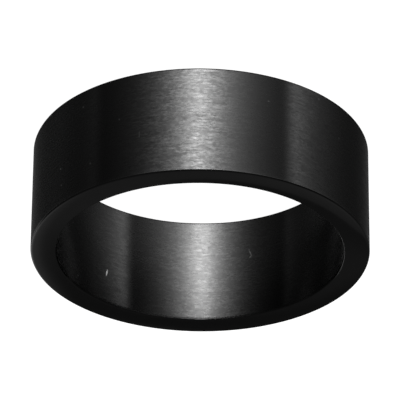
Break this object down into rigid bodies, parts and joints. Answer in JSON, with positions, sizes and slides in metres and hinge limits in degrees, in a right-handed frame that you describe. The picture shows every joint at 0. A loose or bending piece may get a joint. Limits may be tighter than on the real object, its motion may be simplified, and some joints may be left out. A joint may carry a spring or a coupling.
{
  "type": "band ring",
  "caption": "Plain flat finger ring, a wide hoop of black brushed metal with flat walls and flat polished edges.",
  "frame": {"origin": "centre of the hoop, on the face that it lies on", "axes": "+Z along the finger hole, up from the face that the ring lies on; X and Y are alike, because the ring is a body of revolution"},
  "size_m": [0.0236, 0.0236, 0.008],
  "materials": {
    "band": "black plated steel, walls brushed round the hoop, the two flat faces polished"
  },
  "bodies": {
    "root": {"band": "band"}
  },
  "joints": []
}
